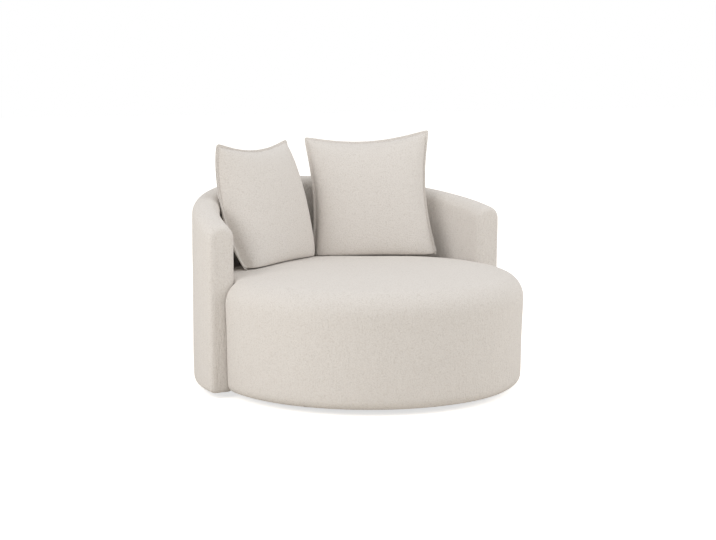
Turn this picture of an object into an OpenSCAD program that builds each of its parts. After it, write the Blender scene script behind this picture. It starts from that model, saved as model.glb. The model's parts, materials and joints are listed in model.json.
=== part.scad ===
// Round loveseat: an upholstered seat drum, a curved back that runs into low arms, and two loose
// cushions that lean on the back. The origin is on the floor under the drum's centre, +Z is up and
// the sitter faces -Y. Angles are counted from the rear, positive towards +X. The back curves about
// a centre of its own, behind the drum's, so the drum swells out past the arms' ends.

/* [Seat drum] */
// Radius of the upholstered drum at its widest
seat_r = 600; // [580:5:640]
// Height of the seat at the start of its rounded edge
seat_h = 448; // [430:2:480]
// Rise of the seat's middle above that height
seat_crown = 8; // [2:1:14]
// Radius of the rounded edge round the top
seat_edge = 89; // [70:1:100]
// Radius of the rounding at the foot
seat_foot = 40; // [24:1:44]
// How much narrower the drum's radius is at the foot
seat_draw = 7; // [4:1:12]
// Depth of the foam core at the rim
core_deep = 137; // [110:1:150]
// Least padding between the board round the frame and the cover
side_pad = 20; // [14:1:30]

/* [Back and arms] */
// Distance of the back's centre behind the drum's
back_y = 40; // [30:1:50]
// How far the drum's side stands out past the back's inner face
back_step = 48; // [44:1:60]
// Thickness of the upholstered back
back_thick = 104; // [100:1:120]
// Gap between the drum and the back
back_gap = 2; // [1:0.5:4]
// Angle from the rear to each arm's end
arm_angle = 90; // [84:1:92]
// Height of the sloping rim's plane over the back's centre
rim_h = 668; // [640:1:700]
// Slope of the rim, rising to the rear
rim_tilt = 9.85; // [8:0.05:11]
// Radius of the rounding along the rim
rim_round = 44; // [30:1:46]
// Radius of the rounding down the arms' ends
end_round = 24; // [16:1:32]
// Radius of the rounding along the foot
back_foot = 26; // [18:1:28]
// Padding on the sitter's side of the back
inner_foam = 28; // [24:1:32]
// Padding on the outer side of the back
outer_foam = 14; // [12:1:18]
// Padding over the frame's top rail
top_foam = 52; // [50:1:60]
// Padding over the frame's end panels
end_foam = 36; // [34:1:44]

/* [Covers] */
// Thickness of the nubby cover fabric
cover_t = 3; // [2:0.5:4]
// Width of cover fabric turned in under the frame
hem_w = 16; // [12:1:18]
// Thickness of the wadding over the seat's foam
wadding_t = 12; // [8:1:16]
// Thickness of the cloth that closes the underside
dust_t = 1; // [0.5:0.5:2]
// Clearance between layers that are wrapped round each other
fit = 0.3; // [0.2:0.1:0.5]

/* [Frame] */
// Thickness of the plywood rings and rails
ply_t = 18; // [15:1:21]
// Thickness of the bent boards
board_t = 3; // [2:0.5:4]
// Radial width of the seat's plywood rings
ring_w = 87; // [70:1:100]
// Section of the seat's upright posts, along the rim and across it
seat_post = [45, 62]; // [30:1:70]
// Number of seat posts
seat_posts_n = 8; // [8:4:12]
// Section of the bars across the drum's base, width and height
bar = [60, 30]; // [20:1:70]
// Diameter of the middle support leg
leg_d = 60; // [50:1:70]
// Thickness of the back's upright posts, along the rim
back_post_t = 32; // [25:1:40]
// Number of back posts between the end panels
back_posts_n = 7; // [5:1:9]
// Height of the back's middle rail above the floor
mid_rail_z = 398; // [360:1:420]

/* [Springs] */
// Number of zigzag springs
springs_n = 5; // [3:2:7]
// Spacing of the springs
spring_gap = 150; // [120:5:155]
// Diameter of the spring wire
wire_d = 4; // [3:0.5:5]
// Width of a zigzag spring
spring_w = 50; // [40:1:56]
// Length of one half turn along the spring
spring_step = 32; // [28:1:40]
// Thickness of the clips' steel
clip_t = 1.5; // [1:0.5:2]
// Width of a clip across the spring
clip_w = 24; // [16:1:30]

/* [Floor fittings] */
// Height of the glides
glide_h = 20; // [15:1:30]
// Diameter of the glides
glide_d = 32; // [24:1:40]
// Diameter of a glide's nail
nail_d = 5; // [4:0.5:6]
// Length of a glide's nail above the disc
nail_l = 15; // [10:1:18]
// Number of glides under the seat
seat_glides_n = 6; // [4:1:8]
// Distance of the seat's glides from the inner edge of the ring they are nailed to
glide_inset = 22; // [18:1:60]
// Angles of the glides under the back
back_glide_angles = [-70, -35, 0, 35, 70];
// Angles of the plates that join the seat to the back
plate_angles = [-55, -18, 18, 55];
// Width and thickness of a joining plate
plate = [40, 3]; // [2:1:50]
// Diameter of the plates' screws
screw_d = 5; // [4:0.5:6]
// Length of the screws' shanks
screw_l = 20; // [14:1:22]
// Diameter and height of the screws' heads
screw_head = [10, 2.5]; // [2:0.5:12]
// Spacing of the two screws at each end of a plate
screw_gap = 20; // [16:1:24]

/* [Cushions] */
// Half the width of a cushion, to its corners
cushion_half = 252; // [220:1:260]
// Half the thickness of a cushion at its middle
cushion_deep = 110; // [80:1:116]
// Share by which the middle of each side is drawn in
cushion_pinch = 0.054; // [0.03:0.002:0.09]
// Fullness of a cushion: lower is plumper towards the seam
cushion_full = 0.345; // [0.28:0.005:0.5]
// Thickness of a cushion's cover
cushion_cover_t = 2.5; // [1.5:0.5:3]
// Sideways place of each cushion's middle, in half widths, left and right
cushion_side = [-0.938, 1.01]; // [-1.2:0.002:1.2]
// Angle that each cushion faces, left and right
cushion_turn = [-29.6, 28]; // [-40:0.1:40]
// Lean of each cushion against the back
cushion_lean = [16.1, 12.8]; // [8:0.1:22]
// Roll of each cushion in its own plane
cushion_roll = [0, 2.2]; // [-4:0.1:4]

/* [Hidden] */

$fn = 96;

// Heights of the layers under the frame, from the floor up
dust_z = glide_h;
hem_z = dust_z + dust_t;
frame_z = hem_z + cover_t;

// Radii of the back's inner face, of the drum's foot, of its frame and of the opening in its cover
// underneath. The frame is round, and the back's inner face comes closest to it beside the arms' ends.
back_in = seat_r - back_step;
foot_r = seat_r - seat_draw;
ring_r = norm([back_in - back_gap, back_y]) - cover_t - side_pad - board_t - 3 * fit;
ring_hole_r = ring_r - ring_w;
hem_r = ring_r - hem_w;
core_z = seat_h - core_deep;
canvas_t = 1.2;
spring_z = core_z - fit - canvas_t - fit - clip_t - wire_d;
top_ring_z = spring_z - clip_t - ply_t;

// Radii of the back's faces and of its frame
back_out = back_in + back_thick;
back_mid = (back_in + back_out) / 2;
board_in = back_in + cover_t + fit + inner_foam + fit;
board_out = back_out - cover_t - fit - outer_foam - fit;
rail_in = board_in + board_t + fit;
rail_out = board_out - board_t - fit;
frame_drop = (cover_t + fit + top_foam) / cos(rim_tilt);
frame_angle = arm_angle - arc_angle(cover_t + fit + end_foam, back_mid);
panel_angle = frame_angle - arc_angle(ply_t, rail_in);

// Smoothness of the swept padding: stretches between stations round the back, steps in each rounding
stations = 20;
end_steps = 4;
rim_steps = 4;
foot_steps = 2;

// Cells each way of the grid over a cushion's face
cushion_cells = 12;

// Angle in degrees that a length makes on a circle of radius r
function arc_angle(len, r) = len / r * 180 / PI;

// Point at a radius and an angle, counted from the rear
function around(r, a, z) = [r * sin(a), r * cos(a), z];

// Height of the sloping rim's plane at a radius and angle round the back's centre, lowered by drop
function rim_z(r, a, drop = 0) = rim_h - drop + r * cos(a) * tan(rim_tilt);

// Radius of the drum's side at a height, before any layer is taken off
function side_r(z) =
    let (top = seat_h - seat_edge, low = hem_z + seat_foot)
    seat_r - seat_draw * max(0, top - z) / (top - low);

// Height of the seat's upholstered surface at a radius
function seat_z(r) =
    let (flat = seat_r - seat_edge)
    r <= flat ? seat_h + seat_crown * (1 - pow(r / flat, 2))
              : seat_h - seat_edge + sqrt(max(0, pow(seat_edge, 2) - pow(r - flat, 2)));

// Outline of the drum's top and rounded edge, a layer t inside the cover's face, axis first
function drum_top(t) = concat(
    [for (i = [0 : 6]) let (r = (seat_r - seat_edge) * i / 7) [r, seat_z(r) - t]],
    [for (a = [90 : -10 : 0])
        [seat_r - seat_edge + (seat_edge - t) * cos(a), seat_h - seat_edge + (seat_edge - t) * sin(a)]]
);

// Outline of the drum's foot rounding, a layer t inside the cover's face, ending under the frame
function drum_foot(t) = [for (a = [0 : -15 : -90])
    [foot_r - seat_foot + (seat_foot - t) * cos(a), hem_z + seat_foot + (seat_foot - t) * sin(a)]];

// Points reversed, to run an outline back
function back_to_front(list) = [for (i = [len(list) - 1 : -1 : 0]) list[i]];

// A ring, or with a half angle a C open to the front, between two radii and two heights
module ring(r1, r2, z1, z2, half = 180) {
    rotate([0, 0, 90 - half])
        rotate_extrude(angle = 2 * half, $fn = 180)
            translate([r1, z1])
                square([r2 - r1, z2 - z1]);
}

// The pieces of the back are drawn about its own centre and moved to their place
module at_back() {
    translate([0, back_y, 0])
        children();
}

// The space under the sloping plane, lowered by drop
module under_rim(drop) {
    size = 2 * back_out;
    translate([0, 0, rim_h - drop])
        rotate([rim_tilt, 0, 0])
            translate([-size, -size, -size])
                cube([2 * size, 2 * size, size]);
}

// A post with its outer face square to the radius: t along the rim, from r1 to r2
module upright(a, t, r1, r2, z1, z2) {
    rotate([0, 0, -a])
        translate([-t / 2, r1, z1])
            cube([t, r2 - r1, z2 - z1]);
}

// The space that the drum can fill, a layer t inside its cover's face: all of the room in front of the
// arms' ends, and what the back's inner face leaves behind them
module seat_space(t) {
    front = back_y - back_gap - t;
    translate([-2 * seat_r, front - 4 * seat_r, 0])
        cube([4 * seat_r, 4 * seat_r, 2 * seat_h]);
    at_back()
        cylinder(r = back_in - back_gap - t, h = 2 * seat_h, $fn = 180);
}

// Places of the glides' and plates' fixings
ring_mid = ring_r - ring_w / 2;
seat_glide_r = ring_hole_r + glide_inset;
back_glide_r = back_mid;
module seat_glide_places() {
    for (i = [0 : seat_glides_n - 1])
        rotate([0, 0, (i + 0.5) * 360 / seat_glides_n])
            translate([seat_glide_r, 0, 0])
                children();
}
module back_glide_places() {
    for (a = back_glide_angles)
        at_back()
            translate(around(back_glide_r, a, 0))
                children();
}

// Distances from the back's centre of a plate's two pairs of screws: in the drum's ring and in the rail
function plate_radii(a) =
    [sqrt(pow(ring_mid, 2) - pow(back_y * sin(a), 2)) - back_y * cos(a), back_glide_r];
module plate_screw_places() {
    for (a = plate_angles, r = plate_radii(a), side = [-1, 1])
        at_back()
            rotate([0, 0, -a])
                translate([side * screw_gap / 2, r, 0])
                    children();
}

// Holes for the glides' nails and the plates' screws, up through the frame
module nail_holes() {
    translate([0, 0, dust_z - 1])
        cylinder(d = nail_d + 2 * fit, h = nail_l + 2 + fit);
}
module screw_holes() {
    plate_screw_places()
        translate([0, 0, dust_z - 1])
            cylinder(d = screw_d + 2 * fit, h = screw_l + 1 - plate[1] + fit);
}

// Seat drum
module seat_base_ring() {
    color("burlywood")
        difference() {
            ring(ring_hole_r, ring_r, frame_z, frame_z + ply_t);
            seat_glide_places() nail_holes();
            screw_holes();
        }
}

module seat_base_bars() {
    z = frame_z + ply_t;
    reach = ring_r - ring_w / 3;
    color("wheat") {
        translate([-reach, -bar[0] / 2, z])
            cube([2 * reach, bar[0], bar[1]]);
        for (side = [0, 180])
            rotate([0, 0, side])
                translate([-bar[0] / 2, bar[0] / 2, z])
                    cube([bar[0], reach - bar[0] / 2, bar[1]]);
    }
}

module seat_centre_leg() {
    color("wheat")
        cylinder(d = leg_d, h = frame_z + ply_t);
}

module seat_posts() {
    low = frame_z + ply_t;
    color("wheat")
        for (i = [0 : seat_posts_n - 1])
            upright((i + 0.5) * 360 / seat_posts_n, seat_post[0],
                    ring_mid - seat_post[1] / 2, ring_mid + seat_post[1] / 2,
                    low, top_ring_z);
}

module seat_top_ring() {
    color("burlywood")
        ring(ring_hole_r, ring_r, top_ring_z, top_ring_z + ply_t);
}

module seat_side_board() {
    color("sienna")
        ring(ring_r + fit, ring_r + fit + board_t, frame_z, core_z - fit);
}

// Half the length of the spring that runs front to back at x, between its clips
function spring_half(x) = sqrt(pow(ring_hole_r, 2) - pow(x, 2)) + clip_w / 2;

// Centre line of a zigzag spring: half turns that swing to each side, then a straight end
function zigzag(half) =
    let (turns = 2 * floor(half / spring_step), step = 2 * half / turns, arm = (spring_w - wire_d - step) / 2)
    concat(
        [[0, -half]],
        [for (i = [1 : turns - 1], a = [-90 : 45 : 90])
            let (side = i % 2 == 0 ? 1 : -1)
            [side * (arm + step / 2 * cos(a)), -half + i * step + step / 2 * sin(a)]],
        [[0, half]]
    );

// Direction square to a line of points at point i
function square_to(line, i) =
    let (d = line[min(i + 1, len(line) - 1)] - line[max(i - 1, 0)])
    [-d[1], d[0]] / norm(d);

module seat_springs() {
    first = -(springs_n - 1) / 2;
    color("silver")
        for (i = [0 : springs_n - 1]) {
            x = (first + i) * spring_gap;
            line = zigzag(spring_half(x));
            one_side = [for (k = [0 : len(line) - 1]) line[k] + square_to(line, k) * wire_d / 2];
            other_side = [for (k = [0 : len(line) - 1]) line[k] - square_to(line, k) * wire_d / 2];
            translate([x, 0, spring_z])
                linear_extrude(wire_d - fit)
                    polygon(concat(one_side, back_to_front(other_side)));
        }
}

module spring_clips() {
    first = -(springs_n - 1) / 2;
    tall = wire_d + 2 * clip_t;
    color("dimgray")
        for (i = [0 : springs_n - 1], side = [-1, 1]) {
            x = (first + i) * spring_gap;
            translate([x, side * (spring_half(x) + wire_d / 2), spring_z - clip_t])
                rotate([0, 0, side < 0 ? 180 : 0])
                    difference() {
                        translate([-clip_w / 2, -clip_w / 2, 0])
                            cube([clip_w, clip_w / 2 + clip_t, tall]);
                        translate([-clip_w / 2 - 1, -clip_w / 2 - 1, clip_t])
                            cube([clip_w + 2, clip_w / 2 + 1, wire_d]);
                    }
        }
}

module spring_canvas() {
    color("tan")
        translate([0, 0, core_z - fit - canvas_t])
            cylinder(r = ring_r, h = canvas_t, $fn = 180);
}

// The drum above height z, a layer t inside its cover's face
module drum_top_solid(t, z) {
    intersection() {
        rotate_extrude($fn = 180)
            polygon(concat([[0, z]], drum_top(t), [[side_r(z) - t, z]]));
        seat_space(t);
    }
}

// The whole drum, a layer t inside its cover's face
module drum_solid(t) {
    intersection() {
        rotate_extrude($fn = 180)
            polygon(concat([[0, hem_z + t]], drum_top(t), drum_foot(t)));
        seat_space(t);
    }
}

module seat_foam_core() {
    color("khaki")
        drum_top_solid(cover_t + fit + wadding_t + fit, core_z);
}

module seat_wadding() {
    color("white")
        difference() {
            drum_top_solid(cover_t + fit, core_z);
            drum_top_solid(cover_t + fit + wadding_t, core_z - 1);
        }
}

module seat_side_foam() {
    t = cover_t + fit;
    inner_r = ring_r + fit + board_t + fit;
    color("khaki")
        intersection() {
            rotate_extrude($fn = 180)
                polygon(concat([[inner_r, core_z - fit], [side_r(core_z) - t, core_z - fit]],
                               drum_foot(t), [[inner_r, hem_z + t]]));
            seat_space(t);
        }
}

module seat_cover() {
    color("ivory")
        difference() {
            drum_solid(0);
            drum_solid(cover_t);
            translate([0, 0, hem_z - 1])
                cylinder(r = hem_r, h = cover_t + 2, $fn = 180);
        }
}

module seat_dust_cover() {
    color("dimgray")
        difference() {
            translate([0, 0, dust_z])
                cylinder(r = ring_r - hem_w / 2, h = dust_t, $fn = 180);
            translate([0, 0, dust_z - 1])
                cylinder(d = leg_d + 2 * fit, h = dust_t + 2);
            seat_glide_places() nail_holes();
            screw_holes();
        }
}

module glide() {
    cylinder(d1 = glide_d - 4, d2 = glide_d, h = 3);
    translate([0, 0, 3])
        cylinder(d = glide_d, h = glide_h - 3);
    cylinder(d = nail_d, h = glide_h + nail_l);
}

module seat_glides() {
    color("dimgray")
        seat_glide_places() glide();
}

// Frame of the back and arms
module back_rail(z1, z2) {
    ring(rail_in, rail_out, z1, z2, panel_angle);
}

module back_bottom_rail() {
    color("burlywood")
        difference() {
            at_back()
                ring(rail_in, (back_out - back_foot) * cos(arm_angle / stations) - fit,
                     frame_z, frame_z + ply_t, frame_angle);
            back_glide_places() nail_holes();
            screw_holes();
        }
}

module back_middle_rail() {
    color("burlywood")
        at_back()
            back_rail(mid_rail_z, mid_rail_z + ply_t);
}

module back_top_rail() {
    color("burlywood")
        at_back() difference() {
            intersection() {
                back_rail(mid_rail_z, rim_h + back_out);
                under_rim(frame_drop);
            }
            under_rim(frame_drop + ply_t / cos(rim_tilt));
        }
}

// Angle of back post i, spread evenly between the end panels
function post_angle(i) = panel_angle * (2 * (i + 1) / (back_posts_n + 1) - 1);

module back_posts() {
    post_in = rail_in / cos(arc_angle(back_post_t / 2, rail_in));
    post_out = sqrt(pow(rail_out, 2) - pow(back_post_t / 2, 2));
    color("wheat")
        at_back() for (i = [0 : back_posts_n - 1]) {
            upright(post_angle(i), back_post_t, post_in, post_out, frame_z + ply_t, mid_rail_z);
            intersection() {
                upright(post_angle(i), back_post_t, post_in, post_out,
                        mid_rail_z + ply_t, rim_h + back_out);
                under_rim(frame_drop + ply_t / cos(rim_tilt));
            }
        }
}

module back_end_panels() {
    color("burlywood")
        at_back() for (side = [-1, 1])
            intersection() {
                rotate([0, 0, side < 0 ? 90 + panel_angle : 90 - frame_angle])
                    rotate_extrude(angle = frame_angle - panel_angle, $fn = 180)
                        translate([rail_in, frame_z + ply_t])
                            square([rail_out - rail_in, rim_h]);
                under_rim(frame_drop);
            }
}

module back_inner_board() {
    color("sienna")
        at_back() intersection() {
            ring(board_in, board_in + board_t, frame_z, rim_h + back_out, frame_angle);
            under_rim(frame_drop);
        }
}

module back_outer_board() {
    low = frame_z + ply_t;
    color("sienna")
        at_back() intersection() {
            ring(board_out - board_t, board_out, low, rim_h + back_out, frame_angle);
            under_rim(frame_drop);
        }
}

// Points of a rounding: centre, radius, first and last angle, seen across the back's section
function rounding(r, z, radius, a1, a2, steps) =
    [for (i = [0 : steps]) let (a = a1 + (a2 - a1) * i / steps) [r + radius * cos(a), z + radius * sin(a)]];

// The part of an outline that runs outwards, from where it passes radius r
function beyond(line, r) =
    let (
        k = [for (i = [1 : len(line) - 1]) if (line[i][0] > r) i][0],
        p = line[k - 1],
        q = line[k]
    )
    concat([p + (q - p) * max(0, r - p[0]) / (q[0] - p[0])], [for (i = [k : len(line) - 1]) line[i]]);

// Section across the back at angle a, a layer t inside the cover's face and drawn in by e near an
// arm's end. It runs from the outer face's foot over the rim to the inner face's foot.
function back_section(a, t, e, hem) =
    let (
        r2 = back_out - t - e,
        r1 = back_in + t + e,
        round = max(rim_round - t - e, 1.5),
        foot = max(back_foot - t - e, 1.5),
        drop = (t + e) / cos(rim_tilt),
        foot_z = hem_z + t + foot,
        outline = concat(
            hem > 0 ? [[r2 - foot - hem, hem_z + t]] : [],
            rounding(r2 - foot, foot_z, foot, -90, 0, foot_steps),
            rounding(r2 - round, rim_z(r2 - round, a, drop) - round, round, 0, 90, rim_steps),
            rounding(r1 + round, rim_z(r1 + round, a, drop) - round, round, 90, 180, rim_steps),
            rounding(r1 + foot, foot_z, foot, 180, 270, foot_steps),
            hem > 0 ? [[r1 + foot + hem, hem_z + t]] : []
        )
    )
    [for (p = outline) around(p[0], a, p[1])];

// Angles of the stations that all layers over the frame share
frame_stations = [for (i = [0 : stations]) frame_angle * (2 * i / stations - 1)];

// Stations round an arm's end, and from one arm's end to the other: [angle, how far the section is
// drawn in there]
function end_stations(t, side) =
    let (radius = end_round - t, end = arm_angle - arc_angle(t, back_mid))
    [for (i = [0 : end_steps])
        let (q = 90 * i / end_steps)
        [side * (end - arc_angle(radius * (1 - sin(q)), back_mid)), radius * (1 - cos(q))]];
function back_stations(t) =
    concat(back_to_front(end_stations(t, -1)), [for (a = frame_stations) [a, 0]], end_stations(t, 1));

// Triangles between two rows of m points; closed joins the last point to the first
function strip(first, second, m, closed) =
    [for (j = [0 : closed ? m - 1 : m - 2])
        let (k = (j + 1) % m)
        each [[first + j, first + k, second + k], [first + j, second + k, second + j]]];

function flipped(faces) = [for (f = faces) [f[0], f[2], f[1]]];

// Triangles that close an end of m points, from the point at apex
function cap(first, m, apex) =
    [for (j = [1 : m - 2]) [first + apex, first + (apex + j) % m, first + (apex + j + 1) % m]];

// Joins rows of points into a closed solid with a flat cap at each end
module swept(rows, apex) {
    n = len(rows);
    m = len(rows[0]);
    faces = concat(
        [for (i = [0 : n - 2]) each strip(i * m, (i + 1) * m, m, true)],
        flipped(cap(0, m, apex)),
        cap((n - 1) * m, m, apex)
    );
    polyhedron([for (row = rows) each row], faces);
}

// A hollow skin between two sets of rows, closed at both ends and open along the foot
module skin(outer, inner, apex) {
    n = len(outer);
    m = len(outer[0]);
    b = n * m;
    last = (n - 1) * m;
    faces = concat(
        [for (i = [0 : n - 2]) each strip(i * m, (i + 1) * m, m, false)],
        [for (i = [0 : n - 2]) each flipped(strip(b + i * m, b + (i + 1) * m, m, false))],
        [for (i = [0 : n - 2]) each
            [[i * m, (i + 1) * m, b + (i + 1) * m], [i * m, b + (i + 1) * m, b + i * m]]],
        [for (i = [0 : n - 2]) let (j = m - 1) each
            [[i * m + j, b + (i + 1) * m + j, (i + 1) * m + j],
             [i * m + j, b + i * m + j, b + (i + 1) * m + j]]],
        flipped(cap(0, m, apex)),
        cap(b, m, apex),
        [[0, b, b + m - 1], [0, b + m - 1, m - 1]],
        cap(last, m, apex),
        flipped(cap(b + last, m, apex)),
        [[last, b + last + m - 1, b + last], [last, last + m - 1, b + last + m - 1]]
    );
    polyhedron([for (row = concat(outer, inner)) each row], faces);
}

module back_cover() {
    apex = 2 + foot_steps + rim_steps;
    color("ivory")
        at_back() skin([for (s = back_stations(0)) back_section(s[0], 0, s[1], hem_w)],
             [for (s = back_stations(cover_t)) back_section(s[0], cover_t, s[1], hem_w)], apex);
}

// How far the padding is from the cover's face
pad_t = cover_t + fit;

module back_inner_foam() {
    r1 = back_in + pad_t;
    r2 = r1 + inner_foam;
    foot = back_foot - pad_t;
    color("khaki")
        at_back() swept([for (a = frame_stations)
            let (outline = concat([[r2, hem_z + pad_t], [r2, rim_z(r2, a, frame_drop)]],
                                  [[r1, rim_z(r1, a, frame_drop)]],
                                  rounding(r1 + foot, hem_z + pad_t + foot, foot, 180, 270, foot_steps)))
            [for (p = outline) around(p[0], a, p[1])]], 1);
}

module back_outer_foam() {
    r2 = back_out - pad_t;
    r1 = (r2 - outer_foam) / cos(frame_angle / stations);
    foot = back_foot - pad_t;
    under = beyond(rounding(r2 - foot, hem_z + pad_t + foot, foot, -90, 0, foot_steps), r1);
    color("khaki")
        at_back() swept([for (a = frame_stations)
            let (outline = concat(under,
                                  [[r2, rim_z(r2, a, frame_drop)], [r1, rim_z(r1, a, frame_drop)]]))
            [for (p = outline) around(p[0], a, p[1])]], len(under) + 1);
}

module back_top_foam() {
    r1 = back_in + pad_t;
    r2 = back_out - pad_t;
    round = rim_round - pad_t;
    drop = pad_t / cos(rim_tilt);
    low = frame_drop - fit;
    color("khaki")
        at_back() swept([for (a = frame_stations)
            let (outline = concat([[r2, rim_z(r2, a, low)]],
                                  rounding(r2 - round, rim_z(r2 - round, a, drop) - round, round, 0, 90, rim_steps),
                                  rounding(r1 + round, rim_z(r1 + round, a, drop) - round, round, 90, 180, rim_steps),
                                  [[r1, rim_z(r1, a, low)]]))
            [for (p = outline) around(p[0], a, p[1])]], 1 + rim_steps);
}

module back_end_foams() {
    apex = 1 + foot_steps + rim_steps;
    color("khaki")
        at_back() for (side = [-1, 1]) {
            ends = end_stations(pad_t, side);
            list = concat([[side * (frame_angle + arc_angle(fit, rail_in)), 0]], ends);
            rows = [for (s = side < 0 ? back_to_front(list) : list) back_section(s[0], pad_t, s[1], 0)];
            swept(rows, apex);
        }
}

module back_dust_cover() {
    color("dimgray")
        difference() {
            at_back()
                ring(back_in + back_foot + hem_w / 2, back_out - back_foot - hem_w / 2,
                     dust_z, hem_z, frame_angle);
            back_glide_places() nail_holes();
            screw_holes();
        }
}

module back_glides() {
    color("dimgray")
        back_glide_places() glide();
}

// Steel plates under the seat and the back that hold them together
module joining_plates() {
    color("silver")
        difference() {
            for (a = plate_angles)
                at_back()
                    rotate([0, 0, -a])
                        translate([-plate[0] / 2, plate_radii(a)[0] - screw_gap, dust_z - plate[1]])
                            cube([plate[0], back_glide_r - plate_radii(a)[0] + 2 * screw_gap, plate[1]]);
            plate_screw_places()
                cylinder(d = screw_d + 2 * fit, h = dust_z + 1);
        }
}

module plate_screws() {
    color("gray")
        plate_screw_places()
            translate([0, 0, dust_z - plate[1] - screw_head[1]]) {
                cylinder(d = screw_head[0], h = screw_head[1]);
                cylinder(d = screw_d, h = screw_head[1] + screw_l);
            }
}

// Point of a cushion's face in its own frame, X across, Y up and Z to the sitter. u and v run from
// -1 to 1, side is 1 for the front and -1 for the rear, and t is how far the face lies under the cover's.
function cushion_point(u, v, side, t) =
    let (half = cushion_half - t, deep = cushion_deep - t, swell = (1 - u * u) * (1 - v * v))
    [half * u * (1 - cushion_pinch * (1 - v * v)), half * v * (1 - cushion_pinch * (1 - u * u)),
     side * deep * pow(max(swell, 0), cushion_full)];

// Place along a side from -1 to 1, closer together near the seam
function spread(i) = sin(90 * (2 * i / cushion_cells - 1));

// Rows of points over one face of a cushion
function cushion_rows(side, t) =
    [for (i = [0 : cushion_cells]) [for (j = [0 : cushion_cells])
        cushion_point(spread(i), spread(j), side, t)]];

// The turn of cushion k from its own frame to the row's, and a point turned by it
function turn_z(p, a) = [p[0] * cos(a) - p[1] * sin(a), p[0] * sin(a) + p[1] * cos(a), p[2]];
function turn_x(p, a) = [p[0], p[1] * cos(a) - p[2] * sin(a), p[1] * sin(a) + p[2] * cos(a)];
function turned(p, k) = turn_z(turn_x(turn_z(p, cushion_roll[k]), 90 - cushion_lean[k]), -cushion_turn[k]);

// Both faces' points, turned, from which the cushion's place is worked out
function turned_points(k) =
    [for (side = [-1, 1], row = cushion_rows(side, 0), p = row) turned(p, k)];

// Radius of the back's inner face at a depth below the rim's plane, with the rounding along the rim
function inner_r(below) =
    below < 0 ? back_out
              : back_in + rim_round - sqrt(pow(rim_round, 2) - pow(max(0, rim_round - below), 2));

// How far behind the back's centre a cushion's middle can go before its point p, at height z and
// x to the side, meets a wall of radius r, and before it meets the back, whose rim rises to the rear
function room(p, x, r) =
    sqrt(max(0, pow(r * cos(arm_angle / stations) - fit, 2) - pow(p[0] + x, 2))) - p[1];
function next_room(p, x, z, y) =
    let (rim = rim_h + (p[1] + y) * (1 + rim_round / back_in) * tan(rim_tilt))
    room(p, x, inner_r(rim - z));
function cushion_y(k) =
    let (x = cushion_side[k] * cushion_half, middle = seat_h + cushion_half * cos(cushion_lean[k]))
    min([for (p = turned_points(k))
        let (z = p[2] + middle)
        next_room(p, x, z, next_room(p, x, z, room(p, x, back_in)))]);

// Height of a cushion's middle at which its lowest point is just clear of the seat
function cushion_up(k, xy) =
    fit - min([for (p = turned_points(k)) p[2] - seat_z(norm([p[0] + xy[0], p[1] + xy[1]]))]);

function cushion_place(k) =
    let (xy = [cushion_side[k] * cushion_half, back_y + cushion_y(k)])
    [xy[0], xy[1], cushion_up(k, xy)];

module place_cushion(k) {
    translate(cushion_place(k))
        rotate([90 - cushion_lean[k], 0, -cushion_turn[k]])
            rotate([0, 0, cushion_roll[k]])
                children();
}

// Triangles over a cushion's face, whose grid point i, j has the number at(i, j). The diagonals run
// into the corners.
function face_triangles(at) =
    [for (i = [0 : cushion_cells - 1], j = [0 : cushion_cells - 1])
        let (a = at(i, j), b = at(i, j + 1), c = at(i + 1, j + 1), d = at(i + 1, j))
        each (2 * i < cushion_cells) == (2 * j < cushion_cells)
            ? [[a, b, c], [a, c, d]] : [[a, b, d], [b, c, d]]];

// One panel of a cushion's cover, open at the seam, where it meets the other
module cushion_panel(side) {
    outer = cushion_rows(side, 0);
    inner = cushion_rows(side, cushion_cover_t);
    m = cushion_cells + 1;
    b = m * m;
    edge = concat(
        [for (j = [0 : m - 2]) j],
        [for (i = [0 : m - 2]) i * m + m - 1],
        [for (j = [m - 1 : -1 : 1]) (m - 1) * m + j],
        [for (i = [m - 1 : -1 : 1]) i * m]
    );
    faces = concat(
        flipped(face_triangles(function(i, j) i * m + j)),
        face_triangles(function(i, j) b + i * m + j),
        [for (i = [0 : len(edge) - 1])
            let (p = edge[i], q = edge[(i + 1) % len(edge)]) each [[p, q, b + q], [p, b + q, b + p]]]
    );
    polyhedron([for (row = concat(outer, inner)) each row], side > 0 ? faces : flipped(faces));
}

// The fill: two faces that share their edge
module cushion_fill() {
    t = cushion_cover_t + fit;
    m = cushion_cells + 1;
    front = [for (row = cushion_rows(1, t)) each row];
    rear = [for (i = [1 : m - 2], j = [1 : m - 2]) cushion_point(spread(i), spread(j), -1, t)];
    function rear_point(i, j) =
        i == 0 || j == 0 || i == m - 1 || j == m - 1 ? i * m + j : m * m + (i - 1) * (m - 2) + j - 1;
    faces = concat(
        flipped(face_triangles(function(i, j) i * m + j)),
        face_triangles(function(i, j) rear_point(i, j))
    );
    polyhedron(concat(front, rear), faces);
}

module left_cushion_front() {
    color("linen") place_cushion(0) cushion_panel(1);
}

module left_cushion_rear() {
    color("linen") place_cushion(0) cushion_panel(-1);
}

module left_cushion_fill() {
    color("white") place_cushion(0) cushion_fill();
}

module right_cushion_front() {
    color("linen") place_cushion(1) cushion_panel(1);
}

module right_cushion_rear() {
    color("linen") place_cushion(1) cushion_panel(-1);
}

module right_cushion_fill() {
    color("white") place_cushion(1) cushion_fill();
}

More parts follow.
